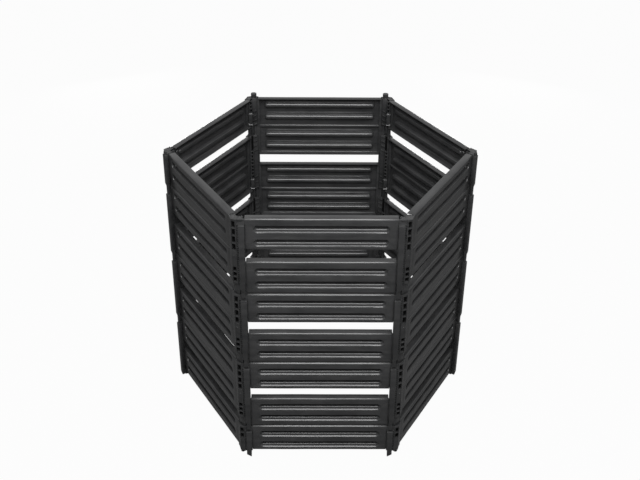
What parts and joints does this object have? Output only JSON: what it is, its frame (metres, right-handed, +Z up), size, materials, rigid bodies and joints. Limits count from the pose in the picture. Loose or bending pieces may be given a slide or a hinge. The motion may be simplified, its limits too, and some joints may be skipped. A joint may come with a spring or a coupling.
{
  "type": "compost bin",
  "caption": "Open hexagonal compost bin of stacked slatted plastic panels held by clip connectors at the corners, with open air slots and no floor or lid.",
  "frame": {"origin": "centre of the footprint, on the ground plane that the bin stands on", "axes": "+Z up, -Y out of the front panels, +X to the right of someone facing the front from outside"},
  "size_m": [1.143, 1.008, 1.0314],
  "materials": {
    "panel_plastic": "matte black moulded plastic",
    "connector_plastic": "matte black moulded plastic"
  },
  "bodies": {
    "bin": {"panel_front_2": "panel_plastic", "panel_front_3": "panel_plastic", "panel_front_4": "panel_plastic", "panel_right_front_2": "panel_plastic", "panel_right_front_3": "panel_plastic", "panel_right_front_4": "panel_plastic", "panel_right_back_2": "panel_plastic", "panel_right_back_3": "panel_plastic", "panel_right_back_4": "panel_plastic", "panel_back_2": "panel_plastic", "panel_back_3": "panel_plastic", "panel_back_4": "panel_plastic", "panel_left_back_2": "panel_plastic", "panel_left_back_3": "panel_plastic", "panel_left_back_4": "panel_plastic", "panel_left_front_2": "panel_plastic", "panel_left_front_3": "panel_plastic", "panel_left_front_4": "panel_plastic", "connector_front_left_2": "connector_plastic", "connector_front_left_3": "connector_plastic", "connector_front_left_4": "connector_plastic", "connector_front_right_2": "connector_plastic", "connector_front_right_3": "connector_plastic", "connector_front_right_4": "connector_plastic", "connector_left_2": "connector_plastic", "connector_left_3": "connector_plastic", "connector_left_4": "connector_plastic", "connector_right_2": "connector_plastic", "connector_right_3": "connector_plastic", "connector_right_4": "connector_plastic", "connector_back_left_2": "connector_plastic", "connector_back_left_3": "connector_plastic", "connector_back_left_4": "connector_plastic", "connector_back_right_2": "connector_plastic", "connector_back_right_3": "connector_plastic", "connector_back_right_4": "connector_plastic"},
    "front_top": {"panel_front_1": "panel_plastic"},
    "back_top": {"panel_back_1": "panel_plastic"},
    "left_front_top": {"panel_left_front_1": "panel_plastic", "connector_front_left_1": "connector_plastic"},
    "right_front_top": {"panel_right_front_1": "panel_plastic", "connector_front_right_1": "connector_plastic"},
    "left_back_top": {"panel_left_back_1": "panel_plastic", "connector_left_1": "connector_plastic", "connector_back_left_1": "connector_plastic"},
    "right_back_top": {"panel_right_back_1": "panel_plastic", "connector_right_1": "connector_plastic", "connector_back_right_1": "connector_plastic"}
  },
  "joints": [
    {"name": "front_top_lift", "type": "slide", "parent": "bin", "child": "front_top", "axis": [0, 0, 1], "range_m": [0, 0.3]},
    {"name": "back_top_lift", "type": "slide", "parent": "bin", "child": "back_top", "axis": [0, 0, 1], "range_m": [0, 0.3]},
    {"name": "left_front_top_lift", "type": "slide", "parent": "bin", "child": "left_front_top", "axis": [0, 0, 1], "range_m": [0, 0.3]},
    {"name": "right_front_top_lift", "type": "slide", "parent": "bin", "child": "right_front_top", "axis": [0, 0, 1], "range_m": [0, 0.3]},
    {"name": "left_back_top_lift", "type": "slide", "parent": "bin", "child": "left_back_top", "axis": [0, 0, 1], "range_m": [0, 0.3]},
    {"name": "right_back_top_lift", "type": "slide", "parent": "bin", "child": "right_back_top", "axis": [0, 0, 1], "range_m": [0, 0.3]}
  ]
}
